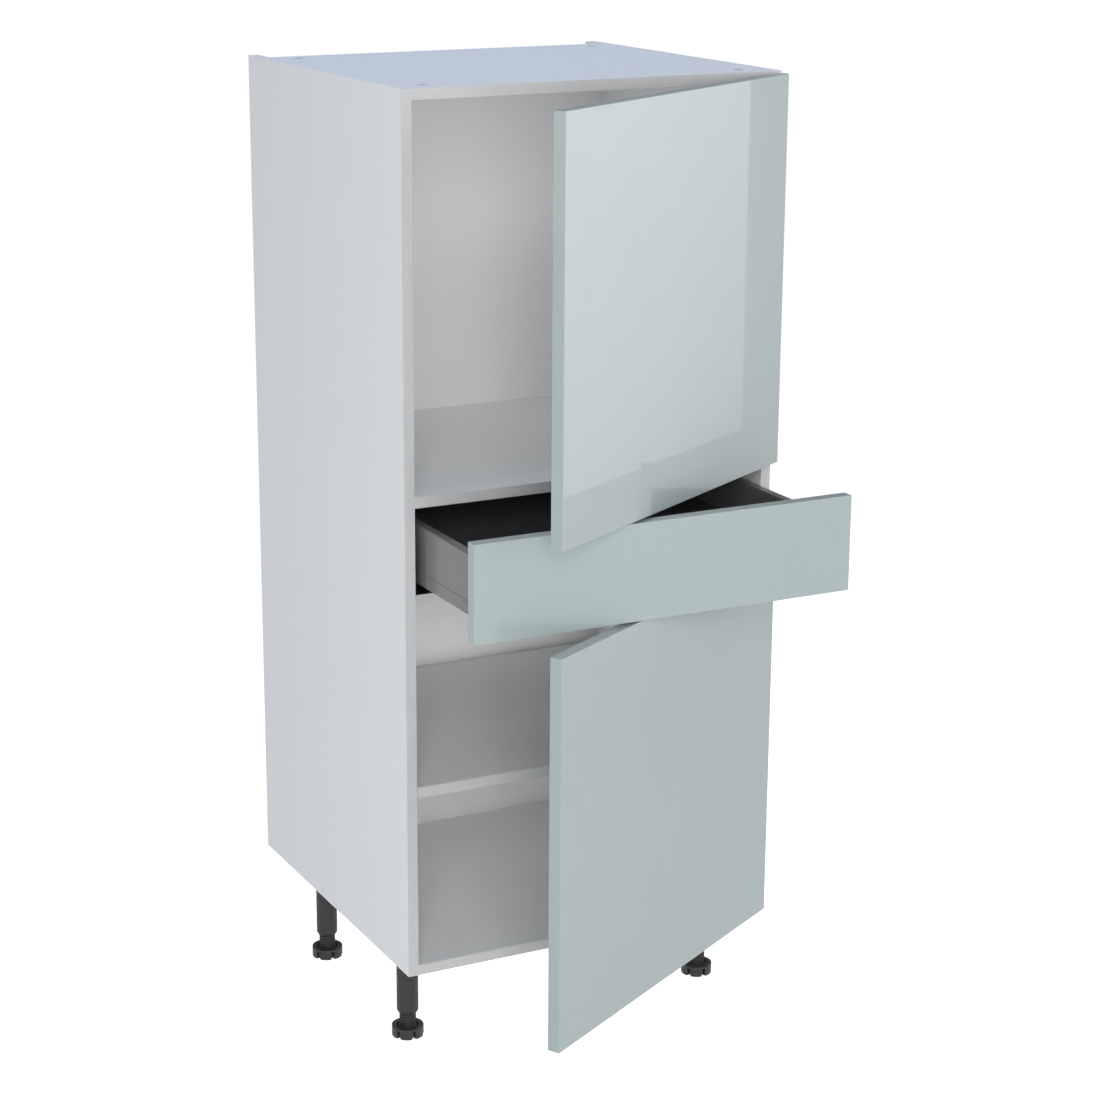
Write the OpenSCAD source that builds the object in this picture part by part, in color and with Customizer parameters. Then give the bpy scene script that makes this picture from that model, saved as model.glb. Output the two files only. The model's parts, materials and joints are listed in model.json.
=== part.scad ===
// Free-standing pantry cabinet: a board carcass on four screw legs, two doors
// hinged on the right and one steel-sided drawer between them.
// Millimetres. The origin is on the floor under the middle of the carcass,
// +X to the right seen from the front, -Y towards the user, +Z up.
// It is drawn with both doors ajar and the drawer part way out.

/* [Carcass] */
// Outside width of the carcass
cab_w = 600; // [450:10:800]
// Depth of the side panels, from the front edging to the wall
cab_d = 570; // [450:5:700]
// Height of the carcass without its legs
cab_h = 1296; // [1060:4:1600]
// Thickness of the carcass boards
board_t = 16; // [15:0.5:22]
// Thickness of the edging strips
edge_t = 1; // [0.4:0.1:2]
// Service gap between the top panel's rear edge and the wall
rear_gap = 47; // [20:1:80]
// Thickness of the back panel
back_t = 4; // [3:0.5:6]
// Distance from the top panel's rear edge to the back panel
back_inset = 11; // [8:1:25]
// Height of the lower shelf's underside over the carcass's underside
shelf_under = 278; // [150:1:420]

/* [Fronts] */
// Height of the lower door's module
lower_module = 576; // [480:1:700]
// Height of the drawer's module
drawer_module = 144; // [136:1:220]
// Gap between two fronts
front_gap = 3; // [2:0.5:5]
// Thickness of the doors and the drawer front
front_t = 19; // [16:0.5:25]
// Gap between a closed front and the carcass
door_gap = 2; // [2:0.25:4]
// Chamfer round the outer face of a front
front_chamfer = 0.8; // [0.2:0.1:2]
// Angle that the doors stand open at
door_open = 30; // [0:1:100]
// Distance that the drawer is pulled out
drawer_out = 200; // [0:1:400]

/* [Hinges] */
// Height of a hinge from the nearest end of its door
hinge_inset = 100; // [70:1:150]
// Diameter of the hinge cup's bore in the door
cup_d = 35; // [35:1:40]
// Depth of the hinge cup's bore
cup_depth = 13; // [11.5:0.5:14]
// Board left between the cup's bore and the door's edge
cup_edge = 4.5; // [4.5:0.5:6]
// Distance from the carcass's front to the hinge plate's screws
plate_setback = 37; // [30:1:50]

/* [Drawer] */
// Clear gap between the carcass and the drawer's side
drawer_side_gap = 8; // [5:0.5:12]
// Thickness of the hollow drawer side
drawer_side_t = 14; // [12:0.5:18]
// Height of the drawer side
drawer_side_h = 87; // [70:1:100]
// Height of the drawer side's underside over the front's lower edge
drawer_side_up = 23; // [20:0.5:26]
// Sheet thickness of the drawer side
drawer_wall = 1.2; // [0.8:0.1:1.5]
// Thickness of the drawer base and back
drawer_base_t = 16; // [12:0.5:18]
// Step in length between one nominal runner and the next
runner_step = 50; // [50:10:100]

/* [Legs] */
// Height of the carcass's underside over the floor
leg_h = 148; // [130:1:170]
// Distance from the carcass's side to a leg's axis
leg_side_inset = 45; // [40:1:90]
// Distance from the carcass's front to the front legs' axes
leg_front_inset = 107; // [60:1:150]
// Distance from the bottom panel's rear edge to the rear legs' axes
leg_rear_inset = 96; // [50:1:150]
// Outer diameter of a leg's tube
leg_d = 33.4; // [31:0.1:37]
// Diameter of the threaded stem
stem_d = 26; // [22:0.1:27]
// Diameter of the foot's disc
foot_d = 48.8; // [42:0.1:56]
// Height of the foot's disc
foot_h = 16.5; // [12:0.5:20]
// Height of the tube's lower end over the floor
tube_up = 37; // [30:0.5:45]

/* [Hidden] */
$fn = 48;

// the carcass
in_x = cab_w / 2 - board_t;
front_y = -cab_d / 2;
z0 = leg_h;
z_top = z0 + cab_h;
panel_d = cab_d - rear_gap;
back_y = front_y + panel_d - back_inset - back_t;
groove_deep = 8;
groove_play = 0.3;
shelf_play = 1;
shelf_mid = z0 + lower_module + drawer_module;
panel_mids = [z0 + board_t / 2, shelf_mid, z_top - board_t / 2];
lower_shelf_z = z0 + shelf_under;

// cam locks, their bolts and the dowels
cam_inset = 34;
cam_r = 7.5;
cam_deep = 12.5;
cam_front = 39;
cam_rear = 36;
bolt_r = 3;
bolt_side_r = 2.5;
bolt_deep = 11;
dowel_r = 4;
dowel_in_side = 10;
dowel_in_panel = 20;
dowel_from_cam = 32;
fit = 0.05;
hole_end = 0.5;
cam_ys = [front_y + cam_front, front_y + panel_d - cam_rear];
dowel_ys = [cam_ys[0] + dowel_from_cam, cam_ys[1] - dowel_from_cam];

// shelf pins
pin_r = 2.5;
pin_in = 9;
pin_pitch = 32;
pin_rows = 5;
pin_tab = 4;
pin_ys = [front_y + plate_setback, back_y - 40];
pin_z = lower_shelf_z - pin_tab / 2 - pin_r / 2;

// fronts
front_w = cab_w - front_gap;
lower_z = z0;
drawer_z = z0 + lower_module;
upper_z = drawer_z + drawer_module;
lower_h = lower_module - front_gap;
drawer_h = drawer_module - front_gap;
upper_h = cab_h - lower_module - drawer_module - front_gap;
rear_face = front_y - door_gap;

// hinges: the doors turn on one axis, just inside their hinged edge
edge_x = front_w / 2;
pivot = [edge_x - 6, rear_face - 10];
cup_x = edge_x - cup_edge - cup_d / 2;
cup_r = cup_d / 2 - fit;
cup_wall = 1;
cup_rim = 1.2;
link_ratio = 0.3;
link_from = [pivot[0] - 26.5, pivot[1] + 5.5];
link_to = [pivot[0] - 5.8, pivot[1] + 1.85];
upper_hinges = [upper_z + hinge_inset, upper_z + upper_h - hinge_inset];
lower_hinges = [lower_z + hinge_inset, lower_z + lower_h - hinge_inset];
all_hinges = concat(lower_hinges, upper_hinges);
plate_y = front_y + plate_setback;
screw_r = 1.85;
euro_r = 2.4;

// drawer and runners
base_up = 14.5;
base_play = 0.2;
back_drop = 2;
bracket_up = 22;
bracket_drop = 8;
bracket_arm = 60;
bracket_foot_t = 2;
head_r = 3.4;
head_h = 1.6;
bumper_r = 4;
bumper_inset = 14;
bumper_play = 0.3;
side_out = in_x - drawer_side_gap;
side_in = side_out - drawer_side_t;
side_z = drawer_z + drawer_side_up;
side_top = side_z + drawer_side_h;
base_z = side_z + base_up;
runner_l = runner_step * floor((back_y - front_y - 3) / runner_step);
drawer_l = runner_l - 2;
runner_z = side_z - base_up;
sheet = 1.5;
race_out = drawer_side_gap + drawer_side_t + 0.8;
race_in = race_out + 20.7;
runner_w = race_in + sheet;
slide_l = runner_l - 30;
cap_l = 64;
cap_h = 15;
cap_gap = 0.3;

// legs
leg_x = cab_w / 2 - leg_side_inset;
leg_ys = [front_y + leg_front_inset, front_y + panel_d - leg_rear_inset];
leg_r = leg_d / 2;
stem_r = stem_d / 2;
stem_top = 95;
socket_t = 4;
spigot_l = 22;

// ---- shapes that repeat ----
module block(low, high) {
    translate(low) cube(high - low);
}
module rod_x(at, r, l) {
    translate(at) rotate([0, 90, 0]) cylinder(r = r, h = l);
}
module rod_y(at, r, l) {
    translate(at) rotate([-90, 0, 0]) cylinder(r = r, h = l);
}
module rod_z(at, r, l) {
    translate(at) cylinder(r = r, h = l);
}
// a profile drawn in X and Z, run from y_from to y_to
module along_y(y_from, y_to) {
    translate([0, y_to, 0]) rotate([90, 0, 0]) linear_extrude(y_to - y_from) children();
}
module on_left() {
    mirror([1, 0, 0]) children();
}
module both_sides() {
    children();
    mirror([1, 0, 0]) children();
}
// turns what is drawn shut about a door's axis
module swung(angle) {
    translate([pivot[0], pivot[1], 0]) rotate(angle) translate([-pivot[0], -pivot[1], 0]) children();
}
// slides what is drawn shut out by a distance
module pulled(distance) {
    translate([0, -distance, 0]) children();
}

// ---- carcass ----
module side_panel() {
    difference() {
        block([in_x, front_y + edge_t, z0], [cab_w / 2, front_y + cab_d, z_top]);
        block([in_x - 1, back_y - groove_play / 2, z0 + board_t - groove_deep],
              [in_x + groove_deep, back_y + back_t + groove_play / 2, z_top - board_t + groove_deep]);
        for (z = panel_mids) {
            for (y = cam_ys) rod_x([in_x - 1, y, z], bolt_side_r + fit, bolt_deep + hole_end + 1);
            for (y = dowel_ys) rod_x([in_x - 1, y, z], dowel_r + fit, dowel_in_side + hole_end + 1);
        }
        for (y = pin_ys, n = [0 : pin_rows - 1])
            rod_x([in_x - 1, y, pin_z + (n - 2) * pin_pitch], pin_r + fit, pin_in + hole_end + 1);
        for (y = rail_screw_ys)
            rod_x([in_x - 1, y, rail_screw_z], screw_r + fit, rail_screw_l + hole_end + 1);
    }
}
module left_side() {
    color([0.88, 0.88, 0.89]) on_left() side_panel();
}
// the right side also has the holes for the hinge plates
module right_side() {
    color([0.88, 0.88, 0.89]) difference() {
        side_panel();
        for (z = all_hinges, dz = [-16, 16])
            rod_x([in_x - 1, plate_y, z + dz], euro_r + fit, plate_screw_l + hole_end + 1);
    }
}

// a board between the sides, with the bores for cams, bolts and dowels;
// the cams open downwards, or upwards when cams_up is true
module cross_board(mid, depth, cams_up) {
    low = mid - board_t / 2;
    cam_z = cams_up ? low + board_t - cam_deep : low - 1;
    difference() {
        block([-in_x, front_y + edge_t, low], [in_x, front_y + depth, low + board_t]);
        both_sides() for (n = [0, 1]) {
            rod_z([in_x - cam_inset, cam_ys[n], cam_z], cam_r, cam_deep + 1);
            rod_x([in_x - cam_inset, cam_ys[n], mid], bolt_r + fit, cam_inset + 1);
            rod_x([in_x - dowel_in_panel - hole_end, dowel_ys[n], mid], dowel_r + fit,
                  dowel_in_panel + hole_end + 1);
        }
    }
}
module back_groove(z_from, z_to) {
    block([-in_x - 1, back_y - groove_play / 2, z_from],
          [in_x + 1, back_y + back_t + groove_play / 2, z_to]);
}
module top_panel() {
    color([0.88, 0.88, 0.89]) difference() {
        cross_board(panel_mids[2], panel_d, true);
        back_groove(z_top - board_t - 1, z_top - board_t + groove_deep);
    }
}
module bottom_panel() {
    color([0.88, 0.88, 0.89]) difference() {
        cross_board(panel_mids[0], panel_d, false);
        back_groove(z0 + board_t - groove_deep, z0 + board_t + 1);
        for (x = [-leg_x, leg_x], y = leg_ys)
            translate([x, y, z0 - 1]) socket_screws() cylinder(r = screw_r + fit, h = 13);
    }
}
module fixed_shelf() {
    color([0.88, 0.88, 0.89]) cross_board(shelf_mid, back_y - front_y - groove_play, false);
}
module lower_shelf() {
    color([0.88, 0.88, 0.89]) block([-in_x + shelf_play, front_y + 2 * edge_t, lower_shelf_z],
        [in_x - shelf_play, back_y - 2, lower_shelf_z + board_t]);
}
module back_panel() {
    reach = groove_deep - hole_end;
    color([0.9, 0.9, 0.9]) block([-in_x - reach, back_y, z0 + board_t - reach],
        [in_x + reach, back_y + back_t, z_top - board_t + reach]);
}
module edging(x_from, x_to, z_from, z_to, set_back) {
    block([x_from, front_y + set_back, z_from], [x_to, front_y + set_back + edge_t, z_to]);
}
module carcass_edging() {
    color([0.9, 0.9, 0.9]) {
        both_sides() edging(in_x, cab_w / 2, z0, z_top, 0);
        edging(-in_x, in_x, z_top - board_t, z_top, 0);
        edging(-in_x, in_x, z0, z0 + board_t, 0);
    }
}
module fixed_shelf_edging() {
    color([0.9, 0.9, 0.9]) edging(-in_x, in_x, shelf_mid - board_t / 2, shelf_mid + board_t / 2, 0);
}
module lower_shelf_edging() {
    color([0.9, 0.9, 0.9]) edging(-in_x + shelf_play, in_x - shelf_play, lower_shelf_z,
        lower_shelf_z + board_t, edge_t);
}

// ---- the carcass's fittings ----
cam_low = 0.4;
cam_h = cam_deep - cam_low;
module cam_lock() {
    difference() {
        cylinder(r = cam_r - fit, h = cam_h);
        block([-5, -0.8, cam_h - 1.6], [5, 0.8, cam_h + 1]);
        block([-0.8, -5, cam_h - 1.6], [0.8, 5, cam_h + 1]);
    }
}
module cam_locks() {
    color([0.55, 0.56, 0.58]) both_sides() for (y = cam_ys) {
        translate([in_x - cam_inset, y, z_top - cam_deep]) cam_lock();
        for (z = [z0, shelf_mid - board_t / 2])
            translate([in_x - cam_inset, y, z + cam_deep]) mirror([0, 0, 1]) cam_lock();
    }
}
module cam_bolts() {
    reach = cam_inset - cam_r - hole_end;
    color([0.7, 0.7, 0.72]) both_sides() for (z = panel_mids, y = cam_ys) {
        rod_x([in_x - reach, y, z], bolt_r, reach);
        rod_x([in_x, y, z], bolt_side_r, bolt_deep);
    }
}
module dowels() {
    color([0.8, 0.68, 0.5]) both_sides() for (z = panel_mids, y = dowel_ys)
        rod_x([in_x - dowel_in_panel, y, z], dowel_r, dowel_in_panel + dowel_in_side);
}
module shelf_pins() {
    color([0.75, 0.76, 0.78]) both_sides() for (y = pin_ys) {
        rod_x([in_x, y, pin_z], pin_r, pin_in);
        block([in_x - 7, y - 5, lower_shelf_z - pin_tab], [in_x, y + 5, lower_shelf_z]);
    }
}

// ---- legs ----
module at_leg(side, row) {
    translate([side * leg_x, leg_ys[row], 0]) children();
}
module socket_screws() {
    for (a = [45 : 90 : 315]) rotate(a) translate([25, 0, 0]) children();
}
module leg_socket() {
    difference() {
        union() {
            rod_z([0, 0, z0 - socket_t], 31, socket_t);
            rod_z([0, 0, z0 - socket_t - spigot_l], stem_r + 1.1, spigot_l);
        }
        translate([0, 0, z0 - socket_t - 1]) socket_screws() cylinder(r = screw_r + 0.25, h = socket_t + 2);
        rod_z([0, 0, z0 - socket_t - spigot_l - 1], stem_r - 2, spigot_l + 1);
    }
}
module leg_sockets() {
    color([0.16, 0.16, 0.17]) for (x = [-1, 1], row = [0, 1]) at_leg(x, row) leg_socket();
}
module leg_screws() {
    color([0.7, 0.7, 0.72]) for (x = [-1, 1], row = [0, 1]) at_leg(x, row) {
        translate([0, 0, z0 - socket_t]) socket_screws() cylinder(r = screw_r, h = socket_t + 11);
        translate([0, 0, z0 - socket_t - 2]) socket_screws() cylinder(r = 3.6, h = 2);
    }
}
// the tube has a tapered lower end and a bore that the stem runs in
module leg_tube() {
    taper = 5;
    top = z0 - socket_t;
    color([0.16, 0.16, 0.17]) difference() {
        union() {
            rod_z([0, 0, tube_up + taper], leg_r, top - tube_up - taper);
            translate([0, 0, tube_up]) cylinder(r1 = stem_r + 0.9, r2 = leg_r, h = taper, $fn = 64);
        }
        rod_z([0, 0, tube_up - 1], stem_r + fit, top - tube_up + 2);
        rod_z([0, 0, top - spigot_l - 1], stem_r + 1.1 + fit, spigot_l + 2);
    }
}
module front_left_leg() at_leg(-1, 0) leg_tube();
module front_right_leg() at_leg(1, 0) leg_tube();
module rear_left_leg() at_leg(-1, 1) leg_tube();
module rear_right_leg() at_leg(1, 1) leg_tube();

// the foot is a slotted disc with a dished top, moulded on a ridged stem
thread_pitch = 4;
thread_deep = 1.2;
module leg_foot() {
    root_r = stem_r - thread_deep;
    dish = 5;
    slots = 6;
    color([0.16, 0.16, 0.17]) difference() {
        union() {
            rod_z([0, 0, 0], foot_d / 2, foot_h);
            rod_z([0, 0, foot_h - dish], stem_r + 1.4, dish);
            rod_z([0, 0, foot_h], root_r, stem_top - foot_h);
            rotate_extrude($fn = 64) thread_outline(root_r);
        }
        difference() {
            rod_z([0, 0, foot_h - dish], foot_d / 2 - 5, dish + 1);
            rod_z([0, 0, foot_h - dish - 1], stem_r + 1.4, dish + 3);
        }
        for (n = [0 : slots - 1]) rotate(n * 360 / slots + 24)
            block([foot_d / 2 - 3.5, -1.6, -1], [foot_d / 2 + 1, 1.6, foot_h - 3.5]);
    }
}
// ridges from the disc up to the stem's top
module thread_outline(root_r) {
    ridges = floor((stem_top - foot_h - 2) / thread_pitch);
    for (n = [0 : ridges - 1]) {
        z = foot_h + 1 + n * thread_pitch;
        polygon([[root_r - 1, z], [root_r, z], [stem_r, z + 1], [stem_r, z + 2],
            [root_r, z + 3], [root_r - 1, z + 3]]);
    }
}
module front_left_foot() at_leg(-1, 0) leg_foot();
module front_right_foot() at_leg(1, 0) leg_foot();
module rear_left_foot() at_leg(-1, 1) leg_foot();
module rear_right_foot() at_leg(1, 1) leg_foot();

// ---- doors and their hinges, drawn shut and then swung open ----
// a board with its outer face chamfered all round
module front_board(z, h) {
    outer = rear_face - front_t;
    c = front_chamfer;
    intersection() {
        translate([0, 0, z]) linear_extrude(h) polygon([
            [-front_w / 2, rear_face], [front_w / 2, rear_face], [front_w / 2, outer + c],
            [front_w / 2 - c, outer], [-front_w / 2 + c, outer], [-front_w / 2, outer + c]]);
        translate([-front_w / 2, 0, 0]) rotate([90, 0, 90]) linear_extrude(front_w) polygon([
            [rear_face, z], [rear_face, z + h], [outer + c, z + h],
            [outer, z + h - c], [outer, z + c], [outer + c, z]]);
    }
}
cup_screw_l = 11;
cup_screw_dz = 24;
module door(z, h, hinges) {
    color([0.68, 0.73, 0.72]) swung(door_open) difference() {
        front_board(z, h);
        for (at = hinges) {
            rod_y([cup_x, rear_face - cup_depth, at], cup_d / 2, cup_depth + 1);
            for (dz = [-cup_screw_dz, cup_screw_dz])
                rod_y([cup_x, rear_face - cup_screw_l - hole_end, at + dz], screw_r + fit,
                      cup_screw_l + hole_end + 1);
        }
    }
}
module hinge_cup(at) {
    cup_bottom = rear_face - cup_depth + hole_end;
    difference() {
        union() {
            rod_y([cup_x, cup_bottom, at], cup_r, rear_face - cup_bottom);
            rod_y([cup_x, rear_face, at], cup_r + 1.5, cup_rim);
            block([cup_x - 7, rear_face, at - cup_screw_dz],
                  [cup_x + 7, rear_face + cup_rim, at + cup_screw_dz]);
            for (dz = [-cup_screw_dz, cup_screw_dz]) rod_y([cup_x, rear_face, at + dz], 7, cup_rim);
        }
        rod_y([cup_x, cup_bottom + cup_wall, at], cup_r - cup_wall, cup_depth + 2);
        for (dz = [-cup_screw_dz, cup_screw_dz])
            rod_y([cup_x, rear_face - 1, at + dz], screw_r + 0.25, cup_rim + 2);
    }
}
module hinge_cups(hinges) {
    color([0.7, 0.71, 0.73]) swung(door_open) for (at = hinges) hinge_cup(at);
}
module cup_screws(hinges) {
    color([0.7, 0.71, 0.73]) swung(door_open) for (at = hinges, dz = [-cup_screw_dz, cup_screw_dz]) {
        rod_y([cup_x, rear_face - cup_screw_l, at + dz], screw_r, cup_screw_l + cup_rim);
        rod_y([cup_x, rear_face + cup_rim, at + dz], 3.6, 1.4);
    }
}
module door_bumpers(z, h) {
    color([0.9, 0.9, 0.9]) swung(door_open) for (at = [z + 14, z + h - 14])
        rod_y([-in_x - board_t / 2, rear_face, at], 4, door_gap - 0.3);
}
module upper_door() door(upper_z, upper_h, upper_hinges);
module lower_door() door(lower_z, lower_h, lower_hinges);
module upper_hinge_cups() hinge_cups(upper_hinges);
module lower_hinge_cups() hinge_cups(lower_hinges);
module upper_cup_screws() cup_screws(upper_hinges);
module lower_cup_screws() cup_screws(lower_hinges);
module upper_door_bumpers() door_bumpers(upper_z, upper_h);
module lower_door_bumpers() door_bumpers(lower_z, lower_h);

// the plate is screwed to the side, and the arm sits over the plate's rail
plate_screw_l = 11;
wing_t = 3;
rail_t = 9;
arm_t = 2;
arm_top = in_x - rail_t - arm_t;
module hinge_plates() {
    color([0.7, 0.71, 0.73]) for (at = all_hinges) difference() {
        union() {
            block([in_x - wing_t, plate_y - 7, at - 24], [in_x, plate_y + 7, at + 24]);
            block([in_x - rail_t, plate_y - 16, at - 7], [in_x, plate_y + 24, at + 7]);
        }
        for (dz = [-16, 16])
            rod_x([in_x - wing_t - 1, plate_y, at + dz], euro_r + 0.3, wing_t + 2);
    }
}
module plate_screws() {
    color([0.7, 0.71, 0.73]) for (at = all_hinges, dz = [-16, 16]) {
        rod_x([in_x - wing_t, plate_y, at + dz], euro_r, wing_t + plate_screw_l);
        rod_x([in_x - wing_t - 1.8, plate_y, at + dz], 3.6, 1.8);
    }
}
arm_half = 9.3;
nose_half = 4.9;
module hinge_arm(at) {
    rear = plate_y + 27;
    neck = front_y + 14;
    difference() {
        union() {
            block([arm_top, neck, at - arm_half], [arm_top + arm_t, rear, at + arm_half]);
            for (side = [-1, 1]) translate([0, 0, at + side * (arm_half - 1)])
                block([arm_top + arm_t, neck, -1], [in_x - wing_t - 0.5, rear, 1]);
            block([link_from[0] - 3.2, link_from[1] - 3.2, at - nose_half],
                  [arm_top + arm_t, neck, at + nose_half]);
        }
        rod_z([link_from[0], link_from[1], at - 10], 1.25, 20);
    }
}
module hinge_arms(hinges) {
    color([0.7, 0.71, 0.73]) for (at = hinges) hinge_arm(at);
}
// the link turns on a pin in the arm's nose and reaches into the cup
link_half = 2.6;
module link_plate() {
    run = link_to - link_from;
    length = norm(run);
    translate([link_from[0], link_from[1], 0]) rotate(atan2(run[1], run[0])) {
        block([0, -link_half, 0], [length, link_half, 1.2]);
        cylinder(r = link_half, h = 1.2);
        translate([length, 0, 0]) cylinder(r = link_half, h = 1.2);
    }
}
module hinge_links(hinges) {
    gap = 0.4;
    grip = nose_half + gap;
    color([0.7, 0.71, 0.73])
        translate([link_from[0], link_from[1], 0]) rotate(-link_ratio * door_open)
        translate([-link_from[0], -link_from[1], 0])
        for (at = hinges) {
            for (low = [-grip - 1.2, grip]) translate([0, 0, at + low]) link_plate();
            rod_z([link_from[0], link_from[1], at - grip], 1.2, 2 * grip);
            rod_z([link_to[0], link_to[1], at - grip], 2, 2 * grip);
        }
}
module upper_hinge_arms() hinge_arms(upper_hinges);
module lower_hinge_arms() hinge_arms(lower_hinges);
module upper_hinge_links() hinge_links(upper_hinges);
module lower_hinge_links() hinge_links(lower_hinges);

// ---- runners, drawn for the right-hand side ----
// rail: a sheet channel on the carcass; slide: the beam that runs in it;
// carrier: the channel under the drawer that runs on the beam
flange_up = 56.5;
rail_screw_z = runner_z + 40;
rail_screw_l = 12;
rail_screw_ys = [front_y + 37, front_y + 37 + 7 * 32, front_y + runner_l - 40];
module flat_box(x_from, x_to, z_from, z_to) {
    translate([x_from, z_from]) square([x_to - x_from, z_to - z_from]);
}
module hooked_lips(z_from, z_to, hook_z) {
    in = in_x - race_in;
    out = in_x - race_out;
    flat_box(in, in + sheet, z_from, z_to);
    flat_box(out - sheet, out, z_from, z_to);
    flat_box(in, in + 8, hook_z, hook_z + sheet);
    flat_box(out - 8, out, hook_z, hook_z + sheet);
}
module runner_rail() {
    color([0.05, 0.05, 0.06]) difference() {
        along_y(front_y + 2, front_y + runner_l + 2) {
            flat_box(in_x - runner_w, in_x, runner_z, runner_z + sheet);
            flat_box(in_x - sheet, in_x, runner_z, runner_z + flange_up);
            hooked_lips(runner_z, runner_z + 8, runner_z + 8 - sheet);
        }
        for (y = rail_screw_ys) rod_x([in_x - sheet - 1, y, rail_screw_z], screw_r + 0.25, sheet + 2);
    }
}
module runner_slide() {
    mid = in_x - (race_in + race_out) / 2;
    half = (race_in - race_out) / 2 - sheet - 0.5;
    shut = front_y + 12;
    color([0.62, 0.63, 0.65]) pulled(drawer_out / 2) along_y(shut, shut + slide_l) {
        flat_box(mid - half, mid + half, runner_z + 2.5, runner_z + 4.5);
        flat_box(mid - 1.5, mid + 1.5, runner_z + 2.5, runner_z + 23);
        flat_box(mid - half, mid + half, runner_z + 21, runner_z + 23);
    }
}
module runner_carrier() {
    top = base_z - sheet;
    color([0.62, 0.63, 0.65]) pulled(drawer_out)
        along_y(rear_face + 6, rear_face + runner_l - 12) {
            flat_box(in_x - race_in, in_x - race_out, top - sheet, top);
            hooked_lips(top - 10, top, top - 10);
        }
}
module runner_screws() {
    color([0.7, 0.7, 0.72]) both_sides() for (y = rail_screw_ys) {
        rod_x([in_x - sheet, y, rail_screw_z], screw_r, sheet + rail_screw_l);
        rod_x([in_x - sheet - 1.8, y, rail_screw_z], 3.8, 1.8);
    }
}
module left_runner_rail() on_left() runner_rail();
module right_runner_rail() runner_rail();
module left_runner_slide() on_left() runner_slide();
module right_runner_slide() runner_slide();
module left_runner_carrier() on_left() runner_carrier();
module right_runner_carrier() runner_carrier();

// ---- drawer, drawn shut and then pulled out ----
bracket_zs = [side_z + 30, side_z + 62];
front_screw_l = 12;
module drawer_front() {
    color([0.68, 0.73, 0.72]) pulled(drawer_out) difference() {
        front_board(drawer_z, drawer_h);
        both_sides() for (z = bracket_zs)
            rod_y([bracket_x, rear_face - front_screw_l - hole_end, z], screw_r + fit,
                  front_screw_l + hole_end + 1);
    }
}
// a hollow side of sheet steel with a rounded top, a shadow line near its foot
// and an inward flange that the base lies on
bracket_x = side_out - drawer_side_t / 2;
round_r = 2;
line_up = 19;
flange_w = 24;
module side_outline(grow) {
    x_low = side_in - grow;
    x_high = side_out + grow;
    z_high = side_top + grow;
    r = round_r + grow;
    translate([x_low, side_z - grow]) square([x_high - x_low, z_high - side_z + grow - r]);
    translate([x_low + r, side_z - grow]) square([x_high - x_low - 2 * r, z_high - side_z + grow]);
    for (x = [x_low + r, x_high - r]) translate([x, z_high - r]) circle(r);
}
module drawer_side() {
    w = drawer_wall;
    front = rear_face;
    color([0.42, 0.43, 0.43]) pulled(drawer_out) difference() {
        along_y(front, front + drawer_l) {
            difference() {
                side_outline(0);
                side_outline(-w);
            }
            flat_box(side_in - flange_w, side_in + w, base_z - sheet, base_z);
        }
        block([side_out - 0.5, front - 1, side_z + line_up],
              [side_out + 1, front + drawer_l + 1, side_z + line_up + 0.8]);
        block([side_out - w - 0.5, front - 1, side_z + w], [side_out + 1, front + cap_l, side_z + cap_h]);
    }
}
// the cap closes the window in the side's lower front corner
module cover_cap() {
    g = cap_gap;
    w = drawer_wall;
    front = rear_face;
    color([0.42, 0.43, 0.43]) pulled(drawer_out) {
        block([side_out - w, front + g, side_z + w + g], [side_out, front + cap_l - g, side_z + cap_h - g]);
        block([side_out - 2 * w - g, front + g, side_z + w + g],
              [side_out - w, front + cap_l + 6, side_z + cap_h - g]);
    }
}
// the bracket stands inside the hollow side and is screwed to the front
module front_bracket() {
    w = drawer_wall;
    half = drawer_side_t / 2 - w - fit;
    front = rear_face;
    low_z = side_z + bracket_up;
    high_z = side_top - bracket_drop;
    color([0.62, 0.63, 0.65]) pulled(drawer_out) difference() {
        union() {
            block([bracket_x - half, front, low_z], [bracket_x + half, front + bracket_foot_t, high_z]);
            block([bracket_x - half, front + bracket_foot_t, low_z],
                  [bracket_x - half + sheet, front + bracket_arm, high_z]);
        }
        for (z = bracket_zs) rod_y([bracket_x, front - 1, z], screw_r + 0.25, 4);
    }
}
module drawer_base() {
    color([0.12, 0.12, 0.14]) pulled(drawer_out)
        block([base_play - side_in, rear_face, base_z],
              [side_in - base_play, rear_face + drawer_l, base_z + drawer_base_t]);
}
module drawer_back() {
    rear = rear_face + drawer_l;
    color([0.12, 0.12, 0.14]) pulled(drawer_out)
        block([base_play - side_in, rear - drawer_base_t, base_z + drawer_base_t],
              [side_in - base_play, rear, side_top - back_drop]);
}
// screws through the brackets into the front
module drawer_screws() {
    color([0.7, 0.7, 0.72]) pulled(drawer_out) both_sides() for (z = bracket_zs) {
        rod_y([bracket_x, rear_face - front_screw_l, z], screw_r, front_screw_l + bracket_foot_t);
        rod_y([bracket_x, rear_face + bracket_foot_t, z], head_r, head_h);
    }
}
module drawer_bumpers() {
    color([0.9, 0.9, 0.9]) pulled(drawer_out) both_sides()
        rod_y([in_x + board_t / 2, rear_face, drawer_z + drawer_h - bumper_inset], bumper_r, door_gap - bumper_play);
}
module left_drawer_side() on_left() drawer_side();
module right_drawer_side() drawer_side();
module left_cover_cap() on_left() cover_cap();
module right_cover_cap() cover_cap();
module left_front_bracket() on_left() front_bracket();
module right_front_bracket() front_bracket();

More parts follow.
